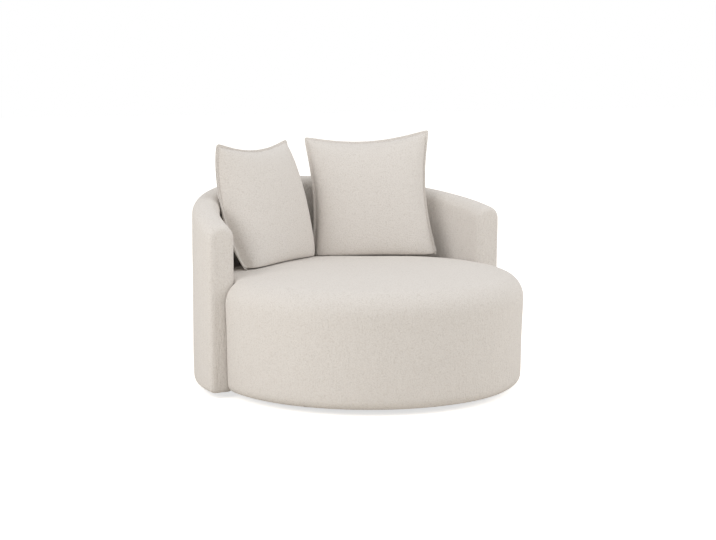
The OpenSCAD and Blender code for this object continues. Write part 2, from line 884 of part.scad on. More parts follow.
seat_base_ring();
seat_base_bars();
seat_centre_leg();
seat_posts();
seat_top_ring();
seat_side_board();
seat_springs();
spring_clips();
spring_canvas();
seat_foam_core();
seat_wadding();
seat_side_foam();
seat_cover();
seat_dust_cover();
seat_glides();
back_bottom_rail();
back_middle_rail();
back_top_rail();
back_posts();
back_end_panels();
back_inner_board();
back_outer_board();
back_inner_foam();
back_outer_foam();
back_top_foam();
back_end_foams();
back_cover();
back_dust_cover();
back_glides();
joining_plates();
plate_screws();
left_cushion_front();
left_cushion_rear();
left_cushion_fill();
right_cushion_front();
right_cushion_rear();
right_cushion_fill();
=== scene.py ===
import json
from math import copysign, cos, exp, hypot, pi, radians, sin, sqrt, tan

import bmesh
import bpy
from mathutils import Matrix, Vector, noise


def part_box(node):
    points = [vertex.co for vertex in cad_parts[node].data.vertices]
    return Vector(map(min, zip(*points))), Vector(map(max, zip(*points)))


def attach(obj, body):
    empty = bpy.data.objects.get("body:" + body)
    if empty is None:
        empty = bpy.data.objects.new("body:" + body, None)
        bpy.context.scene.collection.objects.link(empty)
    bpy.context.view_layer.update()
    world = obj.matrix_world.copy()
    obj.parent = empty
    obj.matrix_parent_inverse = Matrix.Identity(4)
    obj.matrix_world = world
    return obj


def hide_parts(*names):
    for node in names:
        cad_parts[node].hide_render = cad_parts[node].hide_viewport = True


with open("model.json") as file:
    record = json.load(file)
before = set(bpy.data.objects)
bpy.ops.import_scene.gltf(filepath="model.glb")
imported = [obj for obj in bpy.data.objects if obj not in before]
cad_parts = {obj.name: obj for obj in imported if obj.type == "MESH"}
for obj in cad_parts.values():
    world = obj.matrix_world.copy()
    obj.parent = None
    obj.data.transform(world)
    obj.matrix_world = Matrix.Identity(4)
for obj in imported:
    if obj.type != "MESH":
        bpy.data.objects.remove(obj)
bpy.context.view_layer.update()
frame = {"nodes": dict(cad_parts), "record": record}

# The layers of the covers: the fabric, the cushions' lighter fabric, the canvas and the dust cloths, the air
# above those cloths, the air between two pads that touch, and how far padding lies inside a cover's face
COVER_T = 0.003
CUSHION_COVER_T = 0.0022
CLOTH_T = 0.0008
CLOTH_AIR = 0.0001
FIT = 0.0003
PAD_T = COVER_T + FIT

# The seat drum, with its radius and heights from the frame. Its soft top stands fuller than the CAD solid's.
seat_low, seat_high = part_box("seat_cover")
SEAT_R = seat_high[0]
HEM_Z = seat_low[2]
SOLID_CROWN = 0.008
SEAT_H = seat_high[2] - SOLID_CROWN
SEAT_CROWN = 0.020
SEAT_EDGE = 0.089
SEAT_FOOT = 0.040
SEAT_DRAW = 0.007
HEM_W = 0.016
WADDING_T = 0.012
CORE_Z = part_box("seat_foam_core")[0][2]
RING_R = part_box("seat_base_ring")[1][0]
OPENING_R = 0.43
BOARD_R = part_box("seat_side_board")[1][0]
LEG_R = 0.030
SPRING_GAP = 0.150

# The back and arms, which curve about a centre behind the drum's. The rim slopes, and near each arm's end
# its padding has settled. The last two radii lie past both faces, for slopes without a rounding.
back_low, back_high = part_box("back_cover")
BACK_Y = back_low[1]
BACK_OUT = back_high[1] - back_low[1]
BACK_THICK = 0.104
BACK_IN = BACK_OUT - BACK_THICK
BACK_MID = BACK_IN + BACK_THICK / 2
BACK_GAP = 0.002
BACK_FOOT = 0.026
RIM_H = 0.668
RIM_TILT = radians(9.85)
RIM_ROUND = 0.044
END_ROUND = 0.018
END_REACH = 0.28
END_DROP = {"left": 0.026, "right": 0.008}
INNER_FOAM = 0.028
OUTER_FOAM = 0.014
TOP_FOAM = 0.052
END_FOAM = 0.036
FRAME_DROP = (PAD_T + TOP_FOAM) / cos(RIM_TILT)
FRAME_ANGLE = pi / 2 - (PAD_T + END_FOAM) / BACK_MID
FRAME_STEPS = 56
PAST_INNER, PAST_OUTER = 0.3, 0.9

# The cushions: half their width and thickness, the blank's thickness and its cells each way, how far its
# sides draw in, how full it is near the edge, how blunt its corners are, the width of the seam outside the
# stitches, the seam's steps outwards as shares of that width with the rise of each, and the fill's size
# against the cover's and its gap to the panels
CUSHION_HALF = 0.252
CUSHION_DEEP = 0.110
BLANK_DEEP = CUSHION_DEEP * 0.90
CUSHION_CELLS = 44
CUSHION_PINCH = 0.054
CUSHION_FULL = 0.345
CORNER_BLUNT = 0.02
SEAM_W = 0.011
SEAM_STEPS = ((0.05, 0), (0.20, 0.0006), (0.45, 0.0003), (0.25, -0.0004), (0.05, -0.0002))
FILL_SIZE = (0.95, 0.91, 1)
FILL_GAP = 0.0010

# How each one leans, and how its fill has settled: how flat the front and the rear are towards the seam, how
# far the fill sinks, and how far the left seam lies back
CUSHION_TURN = {"left": radians(-29.6), "right": radians(28)}
CUSHION_LEAN = {"left": radians(16.1), "right": radians(12.8)}
CUSHION_ROLL = {"left": radians(0), "right": radians(2.2)}
CUSHION_FRONT = 1.3
CUSHION_REAR = {"left": 2.0, "right": 1.6}
CUSHION_SINK = 0.050
SEAM_BACK = {"left": 0.055, "right": 0.0}

# Where each one's fabric has settled, in millimetres across and up: the corners, top left, top right, low
# left and low right, and the middles of the sides, top, right, low and left, with outwards above 0
CORNER_PULL = {
    "left": ((11, -1), (9, -4), (-2, 0), (-28, -1)),
    "right": ((-25, -1), (-12, 10), (-15, -1), (-3, -10)),
}
SIDE_PULL = {"left": (-24, 9, 4, 4), "right": (-22, -19, 8, -9)}


# Camera
def make_camera():
    """The photograph's view: a long lens at standing height, from the front and to the left."""
    image_w = 716
    focal_px = 1565.6
    place = Vector((-3.1455, -5.1096, 1.2323))
    heading, pitch, roll = radians(31.26), radians(7.43), radians(0.15)
    ahead = Vector((sin(heading) * cos(pitch), cos(heading) * cos(pitch), -sin(pitch)))
    level = Vector((cos(heading), -sin(heading), 0))
    up = level.cross(ahead)
    right = cos(roll) * level + sin(roll) * up
    up = right.cross(ahead)
    data = bpy.data.cameras.new("camera")
    data.sensor_width = 36
    data.lens = focal_px / image_w * data.sensor_width
    data.clip_start = 0.05
    data.clip_end = 200
    camera = bpy.data.objects.new("camera", data)
    bpy.context.collection.objects.link(camera)
    camera.matrix_world = Matrix((
        (right.x, up.x, -ahead.x, place.x),
        (right.y, up.y, -ahead.y, place.y),
        (right.z, up.z, -ahead.z, place.z),
        (0, 0, 0, 1),
    ))
    bpy.context.scene.camera = camera


make_camera()


# Materials
def new_group(name, inputs, outputs):
    """An empty shader node group with float, vector or colour sockets."""
    kinds = {"value": "NodeSocketFloat", "vector": "NodeSocketVector", "colour": "NodeSocketColor"}
    group = bpy.data.node_groups.new(name, "ShaderNodeTree")
    for label, kind in inputs:
        group.interface.new_socket(name=label, in_out="INPUT", socket_type=kinds[kind])
    for label, kind in outputs:
        group.interface.new_socket(name=label, in_out="OUTPUT", socket_type=kinds[kind])
    return group, group.nodes.new("NodeGroupInput"), group.nodes.new("NodeGroupOutput")


def math_node(tree, operation, *values, clamp=False):
    """A math node whose inputs are numbers or other nodes' sockets."""
    node = tree.nodes.new("ShaderNodeMath")
    node.operation = operation
    node.use_clamp = clamp
    for socket, value in zip(node.inputs, values):
        if isinstance(value, (int, float)):
            socket.default_value = value
        else:
            tree.links.new(value, socket)
    return node.outputs[0]


def noise_node(tree, vector, scale, detail=2.0, rough=0.5):
    """The value of a noise texture."""
    node = tree.nodes.new("ShaderNodeTexNoise")
    node.inputs["Scale"].default_value = scale
    node.inputs["Detail"].default_value = detail
    node.inputs["Roughness"].default_value = rough
    tree.links.new(vector, node.inputs["Vector"])
    return node.outputs["Fac"]


def cell_node(tree, vector, scale, feature="F1"):
    """The distance that a cell texture gives."""
    node = tree.nodes.new("ShaderNodeTexVoronoi")
    node.feature = feature
    node.inputs["Scale"].default_value = scale
    tree.links.new(vector, node.inputs["Vector"])
    return node.outputs["Distance"]


def mapped(tree, vector, shift=(0, 0, 0), stretch=(1, 1, 1)):
    """The vector, stretched and then shifted."""
    node = tree.nodes.new("ShaderNodeMapping")
    node.inputs["Location"].default_value = shift
    node.inputs["Scale"].default_value = stretch
    tree.links.new(vector, node.inputs["Vector"])
    return node.outputs["Vector"]


def mix_colours(tree, factor, first, second):
    """A blend of two colours, each a tuple or another node's socket."""
    node = tree.nodes.new("ShaderNodeMix")
    node.data_type = "RGBA"
    for socket, value in ((node.inputs[0], factor), (node.inputs[6], first), (node.inputs[7], second)):
        if isinstance(value, tuple):
            socket.default_value = (*value, 1)
        elif isinstance(value, (int, float)):
            socket.default_value = value
        else:
            tree.links.new(value, socket)
    return node.outputs[2]


def boucle_group():
    """Looped nubs of two sizes and faint ribs: their height, how deep between the loops a point lies, and the
    slow random clouds of tone, with painted shade in the ribs' grooves that leaves their crests paler."""
    group, inside, outside = new_group(
        "boucle_loops",
        [("Vector", "vector"), ("Rib", "vector"), ("Weight", "value")],
        [("Height", "value"), ("Depth", "value"), ("ToneAndRibShade", "value")],
    )
    vector = inside.outputs["Vector"]
    wander_m = 0.004
    large_cells, small_cells, fuzz_cells = 215, 390, 900
    wander = group.nodes.new("ShaderNodeTexNoise")
    wander.inputs["Scale"].default_value = 160
    wander.inputs["Detail"].default_value = 1
    group.links.new(vector, wander.inputs["Vector"])
    bend = group.nodes.new("ShaderNodeVectorMath")
    bend.operation = "MULTIPLY_ADD"
    group.links.new(wander.outputs["Color"], bend.inputs[0])
    bend.inputs[1].default_value = (wander_m, wander_m, wander_m)
    group.links.new(vector, bend.inputs[2])
    bent = bend.outputs["Vector"]
    large = math_node(group, "POWER", cell_node(group, bent, large_cells), 1.6)
    shifted = mapped(group, bent, (3.1, 1.7, 0.4))
    small = math_node(group, "POWER", cell_node(group, shifted, small_cells), 1.6)
    nubs = math_node(
        group, "ADD", math_node(group, "MULTIPLY", large, 0.68), math_node(group, "MULTIPLY", small, 0.32)
    )
    height = math_node(group, "SUBTRACT", 1.0, math_node(group, "MULTIPLY", nubs, 1.35), clamp=True)
    fuzz = noise_node(group, vector, fuzz_cells, 2, 0.6)
    rib = math_node(group, "SUBTRACT", noise_node(group, inside.outputs["Rib"], 1.0, 2, 0.6), 0.5)
    rib = math_node(group, "MULTIPLY", rib, inside.outputs["Weight"])
    tall = math_node(group, "MULTIPLY_ADD", fuzz, 0.18, height)
    group.links.new(math_node(group, "MULTIPLY_ADD", rib, 2.8, tall), outside.inputs["Height"])
    group.links.new(math_node(group, "SUBTRACT", 1.0, height, clamp=True), outside.inputs["Depth"])
    # Random clouds of tone, less the ribs: painted shade in the ribs' grooves, paler on their crests
    tone_and_rib_shade = math_node(group, "MULTIPLY_ADD", noise_node(group, vector, 5, 3), 0.5, 0.25)
    tone_and_rib_shade = math_node(group, "SUBTRACT", tone_and_rib_shade, math_node(group, "MULTIPLY", rib, 3.0))
    group.links.new(tone_and_rib_shade, outside.inputs["ToneAndRibShade"])
    return group


def grain_group():
    """Wood grain along X: streaks and pores."""
    group, inside, outside = new_group(
        "wood_grain", [("Vector", "vector")], [("Streak", "value"), ("Pore", "value")]
    )
    vector = inside.outputs["Vector"]
    along = mapped(group, vector, stretch=(4, 60, 60))
    group.links.new(noise_node(group, along, 1.0, 6, 0.6), outside.inputs["Streak"])
    pores = noise_node(group, mapped(group, vector, stretch=(40, 900, 900)), 1.0, 2, 0.5)
    group.links.new(math_node(group, "GREATER_THAN", pores, 0.66), outside.inputs["Pore"])
    return group


def speck_group():
    """Fine cells and a slow drift of tone, for foam, wadding, cloth and moulded plastic."""
    group, inside, outside = new_group(
        "specks", [("Vector", "vector"), ("Size", "value")], [("Cell", "value"), ("Drift", "value")]
    )
    vector = inside.outputs["Vector"]
    cells = group.nodes.new("ShaderNodeTexVoronoi")
    group.links.new(vector, cells.inputs["Vector"])
    group.links.new(math_node(group, "DIVIDE", 1.0, inside.outputs["Size"]), cells.inputs["Scale"])
    group.links.new(cells.outputs["Distance"], outside.inputs["Cell"])
    group.links.new(noise_node(group, vector, 9, 4, 0.6), outside.inputs["Drift"])
    return group


BOUCLE = boucle_group()
GRAIN = grain_group()
SPECKS = speck_group()


def new_material(name, roughness, metallic=0.0, sheen=0.0):
    """A material with a Principled shader, and its tree, shader and object coordinates."""
    material = bpy.data.materials.new(name)
    material.use_nodes = True
    tree = material.node_tree
    shader = tree.nodes["Principled BSDF"]
    shader.inputs["Roughness"].default_value = roughness
    shader.inputs["Metallic"].default_value = metallic
    shader.inputs["Sheen Weight"].default_value = sheen
    place = tree.nodes.new("ShaderNodeTexCoord")
    return material, tree, shader, place.outputs["Object"]


def use_group(tree, group, vector, **values):
    """The group placed in a material, fed with the vector and its own values."""
    node = tree.nodes.new("ShaderNodeGroup")
    node.node_tree = group
    tree.links.new(vector, node.inputs["Vector"])
    for label, value in values.items():
        if isinstance(value, bpy.types.NodeSocket):
            tree.links.new(value, node.inputs[label])
        else:
            node.inputs[label].default_value = value
    return node.outputs


def bump(tree, shader, height, distance, strength=1.0):
    """Height, in shares of distance, as a bump of the surface."""
    node = tree.nodes.new("ShaderNodeBump")
    node.inputs["Distance"].default_value = distance
    node.inputs["Strength"].default_value = strength
    tree.links.new(height, node.inputs["Height"])
    tree.links.new(node.outputs["Normal"], shader.inputs["Normal"])


def boucle_material(name, rib, weight):
    """Cream looped wool: lighter on the loops, with painted shade between them. Its faint ribs, stretched by
    rib, show least where it lies level, and so does their painted shade."""
    material, tree, shader, place = new_material(name, 0.92, sheen=0.12)
    shader.inputs["Sheen Roughness"].default_value = 0.5
    shader.inputs["Specular IOR Level"].default_value = 0.2
    facing = tree.nodes.new("ShaderNodeSeparateXYZ")
    normal = tree.nodes.new("ShaderNodeNewGeometry")
    tree.links.new(normal.outputs["True Normal"], facing.inputs[0])
    level = math_node(tree, "ABSOLUTE", facing.outputs["Z"])
    steep = math_node(tree, "MULTIPLY_ADD", level, -0.85 * weight, weight)
    loops = use_group(tree, BOUCLE, place, Rib=mapped(tree, place, stretch=rib), Weight=steep)
    # The colour between the loops is painted shade; the dull colour darkens random clouds of tone and, as
    # painted shade, the ribs' grooves
    crest, hollow_shade, dull_tone_and_shade = (0.735, 0.698, 0.658), (0.63, 0.588, 0.543), (0.62, 0.568, 0.522)
    depth = math_node(tree, "POWER", loops["Depth"], 1.5)
    colour = mix_colours(tree, depth, crest, hollow_shade)
    shade = math_node(tree, "MULTIPLY_ADD", loops["ToneAndRibShade"], 0.20, -0.05, clamp=True)
    colour = mix_colours(tree, shade, colour, dull_tone_and_shade)
    tree.links.new(colour, shader.inputs["Base Color"])
    bump(tree, shader, loops["Height"], 0.0012, 0.7)
    return material


def foam_material():
    """Pale yellow cut foam with open cells, with painted shade in the cells."""
    material, tree, shader, place = new_material("yellow_foam", 0.95)
    specks = use_group(tree, SPECKS, place, Size=0.0022)
    tone = mix_colours(tree, specks["Drift"], (0.80, 0.70, 0.42), (0.72, 0.60, 0.33))
    # Painted shade: the open cells, the bump's low points, take the darker colour
    pores = math_node(tree, "LESS_THAN", specks["Cell"], 0.22)
    tree.links.new(mix_colours(tree, pores, tone, (0.50, 0.40, 0.20)), shader.inputs["Base Color"])
    bump(tree, shader, specks["Cell"], 0.0008)
    return material


def wadding_material():
    """White polyester fibre."""
    material, tree, shader, place = new_material("white_wadding", 1.0, sheen=0.3)
    specks = use_group(tree, SPECKS, place, Size=0.006)
    tone = mix_colours(tree, specks["Drift"], (0.80, 0.80, 0.79), (0.66, 0.66, 0.65))
    tree.links.new(tone, shader.inputs["Base Color"])
    fibres = noise_node(tree, mapped(tree, place, stretch=(300, 90, 300)), 1.0, 4, 0.7)
    bump(tree, shader, math_node(tree, "ADD", fibres, specks["Cell"]), 0.0015)
    return material


def woven_material(name, light, dark, pitch, roughness):
    """Plain weave whose threads run along X and Y, a thread every pitch, with painted shade where the weave
    lies low.
    """
    material, tree, shader, place = new_material(name, roughness)
    split = tree.nodes.new("ShaderNodeSeparateXYZ")
    tree.links.new(place, split.inputs[0])
    across = math_node(tree, "SINE", math_node(tree, "MULTIPLY", split.outputs["X"], 2 * pi / pitch))
    along = math_node(tree, "SINE", math_node(tree, "MULTIPLY", split.outputs["Y"], 2 * pi / pitch))
    weave = math_node(tree, "MULTIPLY_ADD", math_node(tree, "MULTIPLY", across, along), 0.5, 0.5)
    specks = use_group(tree, SPECKS, place, Size=pitch)
    # Painted shade: the weave's low places take the dark colour; the drift below adds random darker tone
    tone = mix_colours(tree, weave, dark, light)
    tone = mix_colours(tree, math_node(tree, "MULTIPLY", specks["Drift"], 0.3), tone, dark)
    tree.links.new(tone, shader.inputs["Base Color"])
    bump(tree, shader, weave, pitch / 4)
    return material


def wood_material(name, light, dark, ply=0.0):
    """Bare wood with streaks and pores, and with ply above 0 the layers that show on a sheet's edge."""
    material, tree, shader, place = new_material(name, 0.62)
    grain = use_group(tree, GRAIN, place)
    tone = mix_colours(tree, grain["Streak"], light, dark)
    tone = mix_colours(tree, math_node(tree, "MULTIPLY", grain["Pore"], 0.35), tone, dark)
    if ply > 0:
        split = tree.nodes.new("ShaderNodeSeparateXYZ")
        tree.links.new(place, split.inputs[0])
        facing = tree.nodes.new("ShaderNodeSeparateXYZ")
        normal = tree.nodes.new("ShaderNodeNewGeometry")
        tree.links.new(normal.outputs["True Normal"], facing.inputs[0])
        wave = math_node(tree, "SINE", math_node(tree, "MULTIPLY", split.outputs["Z"], pi / ply))
        edge = math_node(tree, "LESS_THAN", math_node(tree, "ABSOLUTE", facing.outputs["Z"]), 0.5)
        layer = math_node(tree, "MULTIPLY", math_node(tree, "GREATER_THAN", wave, 0), edge)
        tone = mix_colours(tree, math_node(tree, "MULTIPLY", layer, 0.6), tone, dark)
    tree.links.new(tone, shader.inputs["Base Color"])
    bump(tree, shader, grain["Streak"], 0.0004)
    return material


def board_material():
    """Brown hardboard: pressed fibre with a smooth face."""
    material, tree, shader, place = new_material("brown_hardboard", 0.55)
    specks = use_group(tree, SPECKS, place, Size=0.003)
    fibre = noise_node(tree, place, 220, 5, 0.7)
    tone = mix_colours(tree, fibre, (0.20, 0.11, 0.055), (0.33, 0.20, 0.11))
    tone = mix_colours(tree, specks["Drift"], tone, (0.26, 0.15, 0.08))
    tree.links.new(tone, shader.inputs["Base Color"])
    bump(tree, shader, fibre, 0.0003)
    return material


def steel_material():
    """Drawn steel with a thin oily film."""
    material, tree, shader, place = new_material("spring_steel", 0.34, metallic=1.0)
    specks = use_group(tree, SPECKS, place, Size=0.004)
    tone = mix_colours(tree, specks["Drift"], (0.46, 0.47, 0.49), (0.30, 0.30, 0.31))
    tree.links.new(tone, shader.inputs["Base Color"])
    streaks = noise_node(tree, mapped(tree, place, stretch=(900, 60, 900)), 1.0, 3, 0.6)
    tree.links.new(math_node(tree, "MULTIPLY_ADD", streaks, 0.25, 0.22), shader.inputs["Roughness"])
    bump(tree, shader, streaks, 0.0001)
    return material


def plastic_material():
    """Moulded black plastic, lightly scuffed."""
    material, tree, shader, place = new_material("black_plastic", 0.5)
    specks = use_group(tree, SPECKS, place, Size=0.0012)
    tone = mix_colours(tree, specks["Drift"], (0.018, 0.018, 0.019), (0.04, 0.04, 0.041))
    tree.links.new(tone, shader.inputs["Base Color"])
    tree.links.new(math_node(tree, "MULTIPLY_ADD", specks["Drift"], 0.3, 0.35), shader.inputs["Roughness"])
    bump(tree, shader, specks["Cell"], 0.0002)
    return material


# The covers' and the cushions' bouclé differ in the way their ribs run and in how much they show
MATERIALS = {
    "boucle": boucle_material("cream_boucle", (125, 125, 28), 1.0),
    "cushion_boucle": boucle_material("cushion_boucle", (28, 28, 125), 0.40),
    "foam": foam_material(),
    "wadding": wadding_material(),
    "dark_cloth": woven_material(
        "black_dust_cloth", (0.035, 0.035, 0.037), (0.012, 0.012, 0.012), pitch=0.002, roughness=0.9
    ),
    "canvas": woven_material(
        "raw_canvas", (0.60, 0.52, 0.38), (0.42, 0.35, 0.24), pitch=0.003, roughness=0.9
    ),
    "plywood": wood_material("birch_plywood", (0.62, 0.45, 0.28), (0.42, 0.27, 0.15), ply=0.0014),
    "timber": wood_material("pine_timber", (0.70, 0.52, 0.32), (0.52, 0.34, 0.18)),
    "board": board_material(),
    "spring_steel": steel_material(),
    "black_plastic": plastic_material(),
}


def finish_cad_nodes():
    """Each CAD node that stays gets the material of its slot in the record."""
    for part in frame["record"]["subparts"]:
        node = frame["nodes"][part["node"]]
        node.data.materials.clear()
        node.data.materials.append(MATERIALS[part["material_slot"]])


finish_cad_nodes()


# Pieces
def add_piece(name, bm, body, slot, *nodes, fill=None, finish=None):
    """The mesh as a piece that rides on a body, has a slot's material, or another finish of that slot, and
    stands for CAD nodes."""
    for face in bm.faces:
        face.smooth = True
    data = bpy.data.meshes.new(name)
    bm.to_mesh(data)
    bm.free()
    piece = bpy.data.objects.new(name, data)
    bpy.context.collection.objects.link(piece)
    data.materials.append(MATERIALS[finish or slot])
    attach(piece, body)
    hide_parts(*nodes)
    return piece


def add_modifiers(piece, wall=0.0, levels=1):
    """A wall grown inwards from the face, then a smooth subdivision."""
    if wall > 0:
        solid = piece.modifiers.new("wall", "SOLIDIFY")
        solid.thickness = wall
        solid.offset = -1
    if levels > 0:
        smooth = piece.modifiers.new("smooth", "SUBSURF")
        smooth.levels = levels
        smooth.render_levels = levels


def close_seams(bm):
    """Joins doubled points and turns every face outwards, or upwards on a flat cloth."""
    bmesh.ops.remove_doubles(bm, verts=bm.verts, dist=1e-5)
    bmesh.ops.recalc_face_normals(bm, faces=bm.faces)
    flat = max(v.co.z for v in bm.verts) - min(v.co.z for v in bm.verts) < 0.001
    facing = sum(f.normal.z * f.calc_area() for f in bm.faces) if flat else bm.calc_volume(signed=True)
    if facing < 0:
        bmesh.ops.reverse_faces(bm, faces=bm.faces)


def arc(centre_r, centre_z, radius, first, last, steps):
    """Points (r, z) of a rounding between two angles in degrees."""
    return [
        (centre_r + radius * cos(radians(a)), centre_z + radius * sin(radians(a)))
        for a in (first + (last - first) * i / steps for i in range(steps + 1))
    ]


def stretch(first, last, steps):
    """Points (r, z) evenly between two others, without either."""
    return [
        tuple(p + (q - p) * i / steps for p, q in zip(first, last)) for i in range(1, steps)
    ]


def chain(bm, points, closed=False):
    """Vertices at (r, 0, z) joined by edges in order."""
    verts = [bm.verts.new((r, 0, z)) for r, z in points]
    pairs = list(zip(verts, verts[1:])) + ([(verts[-1], verts[0])] if closed else [])
    return verts + [bm.edges.new(pair) for pair in pairs]


def soft_waves(bm, size, amount, seed, hem=1.0):
    """Slow unevenness of stuffed fabric: each vertex moves along its normal by up to amount, and by the share
    hem of it underneath."""
    bm.normal_update()
    shift = Vector((seed * 7.3, seed * 3.1, seed * 5.7))
    moves = []
    hem_top = HEM_Z + 0.01
    for vert in bm.verts:
        share = hem if vert.co.z < hem_top else 1.0
        moves.append((vert, vert.normal * (amount * share * noise.noise(vert.co / size + shift))))
    for vert, move in moves:
        vert.co += move


# Seat drum
def seat_top(r):
    """Height of the seat's surface at a radius from the drum's centre: nearly level over the foam block, down
    to the rounded edge, and round it."""
    flat = SEAT_R - SEAT_EDGE
    if r <= flat:
        return SEAT_H + SEAT_CROWN * (1 - (r / flat) ** 6) ** 1.5
    return SEAT_H - SEAT_EDGE + sqrt(max(0, SEAT_EDGE ** 2 - (r - flat) ** 2))


def side_r(z):
    """Radius of the drum's side at a height."""
    top, low = SEAT_H - SEAT_EDGE, HEM_Z + SEAT_FOOT
    return SEAT_R - SEAT_DRAW * max(0, top - z) / (top - low)


def drum_top(t, low=None):
    """The outline (r, z) from the drum's middle over its rounded edge, a layer t inside the cover's face, and
    down to the height low where one is given."""
    flat = SEAT_R - SEAT_EDGE
    rings = 14
    top = [(flat * i / rings, seat_top(flat * i / rings) - t) for i in range(rings)]
    outline = top + arc(flat, SEAT_H - SEAT_EDGE, SEAT_EDGE - t, 90, 0, 8)
    end = outline[-1]
    return outline + (stretch(end, (side_r(low) - t, low), 2) + [(side_r(low) - t, low)] if low else [])


def drum_foot(t):
    """The outline (r, z) round the drum's foot, a layer t inside the cover's face."""
    return arc(SEAT_R - SEAT_DRAW - SEAT_FOOT, HEM_Z + SEAT_FOOT, SEAT_FOOT - t, 0, -90, 5)


def spin_drum(points, closed=False):
    """The outline turned about the drum's middle."""
    bm = bmesh.new()
    bmesh.ops.spin(
        bm, geom=chain(bm, points, closed), cent=(0, 0, 0), axis=(0, 0, 1), angle=2 * pi, steps=160,
        use_merge=True,
    )
    close_seams(bm)
    return bm


def fit_behind_arms(bm, t):
    """Behind the arms' ends the drum is drawn in to the back's inner face, with a soft shoulder."""
    front = BACK_Y - BACK_GAP - t
    wall = BACK_IN - BACK_GAP - t
    corner = 0.014
    for drop in (0.0, 0.001, 0.004, 0.008, corner):
        bmesh.ops.bisect_plane(
            bm, geom=bm.verts[:] + bm.edges[:] + bm.faces[:], dist=1e-6,
            plane_co=(0, front - drop, 0), plane_no=(0, 1, 0),
        )
    for vert in bm.verts:
        x, y = vert.co.x, vert.co.y
        if y > front - 1e-5:
            reach = hypot(x, y - BACK_Y)
            if reach > wall:
                vert.co.x *= wall / reach
                vert.co.y = BACK_Y + (y - BACK_Y) * wall / reach
        elif y > front - corner and abs(x) > wall:
            ahead = y - (front - corner)
            limit = sqrt(max(0, corner ** 2 - ahead ** 2)) - corner
            vert.co.x = (abs(x) + limit) * (1 if x > 0 else -1)


def make_seat_cover():
    """The nubby cover of the drum, hemmed under the frame."""
    side = stretch((SEAT_R, SEAT_H - SEAT_EDGE), (SEAT_R - SEAT_DRAW, HEM_Z + SEAT_FOOT), 8)
    hem = (RING_R - HEM_W, HEM_Z)
    foot = drum_foot(0)
    bm = spin_drum(drum_top(0) + side + foot + stretch(foot[-1], hem, 3) + [hem])
    fit_behind_arms(bm, 0)
    soft_waves(bm, 0.16, 0.0022, 1, hem=0.2)
    piece = add_piece("seat_upholstery", bm, "loveseat", "boucle", "seat_cover", fill=0.85)
    add_modifiers(piece, wall=COVER_T)


def make_seat_wadding():
    """A soft layer over the seat's foam."""
    bm = spin_drum(drum_top(PAD_T, CORE_Z))
    fit_behind_arms(bm, PAD_T)
    piece = add_piece("seat_wadding_layer", bm, "loveseat", "wadding", "seat_wadding", fill=0.5)
    add_modifiers(piece, wall=WADDING_T)


def make_seat_foam():
    """The crowned block that the sitter sinks into."""
    t = PAD_T + WADDING_T + FIT
    outline = drum_top(t, CORE_Z)
    bm = spin_drum(outline + stretch(outline[-1], (0, CORE_Z), 8) + [(0, CORE_Z)])
    fit_behind_arms(bm, t)
    soft_waves(bm, 0.09, 0.0006, 3)
    piece = add_piece("seat_foam_block", bm, "loveseat", "foam", "seat_foam_core", fill=1)
    add_modifiers(piece)


def make_side_foam():
    """The padding round the drum's side."""
    inner, top = BOARD_R + FIT, CORE_Z - FIT
    outer = (side_r(top) - PAD_T, top)
    foot = drum_foot(PAD_T)
    low = HEM_Z + PAD_T
    outline = (
        [(inner, top)] + stretch((inner, top), outer, 2) + [outer] + stretch(outer, foot[0], 6) + foot
        + [(inner, low)] + stretch((inner, low), (inner, top), 6)
    )
    bm = spin_drum(outline, closed=True)
    fit_behind_arms(bm, PAD_T)
    soft_waves(bm, 0.07, 0.0005, 4)
    add_piece("seat_side_padding", bm, "loveseat", "foam", "seat_side_foam", fill=1)


def make_spring_canvas():
    """Canvas stretched over the springs: it dips a little between them."""
    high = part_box("spring_canvas")[1]
    dip, rings = 0.0012, 24
    bm = spin_drum([(high[0] * i / rings, high[2]) for i in range(rings + 1)])
    for vert in bm.verts:
        slack = max(0, 1 - (hypot(vert.co.x, vert.co.y) / OPENING_R) ** 6)
        vert.co.z -= dip * slack * (0.5 - 0.5 * cos(2 * pi * vert.co.x / SPRING_GAP))
    piece = add_piece("seat_canvas", bm, "loveseat", "canvas", "spring_canvas")
    add_modifiers(piece, wall=CLOTH_T, levels=0)


def make_seat_dust_cover():
    """Black cloth stapled under the drum; it sags a little between the ring and the middle leg."""
    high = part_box("seat_dust_cover")[1]
    edge, hole, sag, rings = high[0], LEG_R + FIT, 0.006, 20
    bm = spin_drum([(hole + (edge - hole) * i / rings, high[2] - CLOTH_AIR) for i in range(rings + 1)])
    for vert in bm.verts:
        share = (hypot(vert.co.x, vert.co.y) - hole) / (OPENING_R - hole)
        if 0 < share < 1:
            vert.co.z -= sag * sin(pi * share) ** 2
    piece = add_piece("seat_underside_cloth", bm, "loveseat", "dark_cloth", "seat_dust_cover")
    add_modifiers(piece, wall=CLOTH_T, levels=0)


# Back and arms
def rim_lift(co, r1, r2):
    """How much higher the sloping rim is at a place than over the back's centre. The roundings along the
    rim, between r1 and the inner face and between r2 and the outer, keep their shape."""
    reach = hypot(co.x, co.y - BACK_Y)
    return (co.y - BACK_Y) * min(max(reach, r1), r2) / reach * tan(RIM_TILT)


def end_drop(co):
    """How far the rim's padding has settled near an arm's end."""
    share = min(1, max(0, 1 - (co.y - BACK_Y) / END_REACH))
    return END_DROP["left" if co.x < 0 else "right"] * share ** 2


def slope_rim(bm, low, high, r1, r2, settled=0.0):
    """Stretches what stands on the foot upwards so that its top follows the slope, settled at the ends
    where settled is 1."""
    for vert in bm.verts:
        share = min(1, max(0, (vert.co.z - low) / (high - low)))
        vert.co.z += share * (rim_lift(vert.co, r1, r2) - settled * end_drop(vert.co))


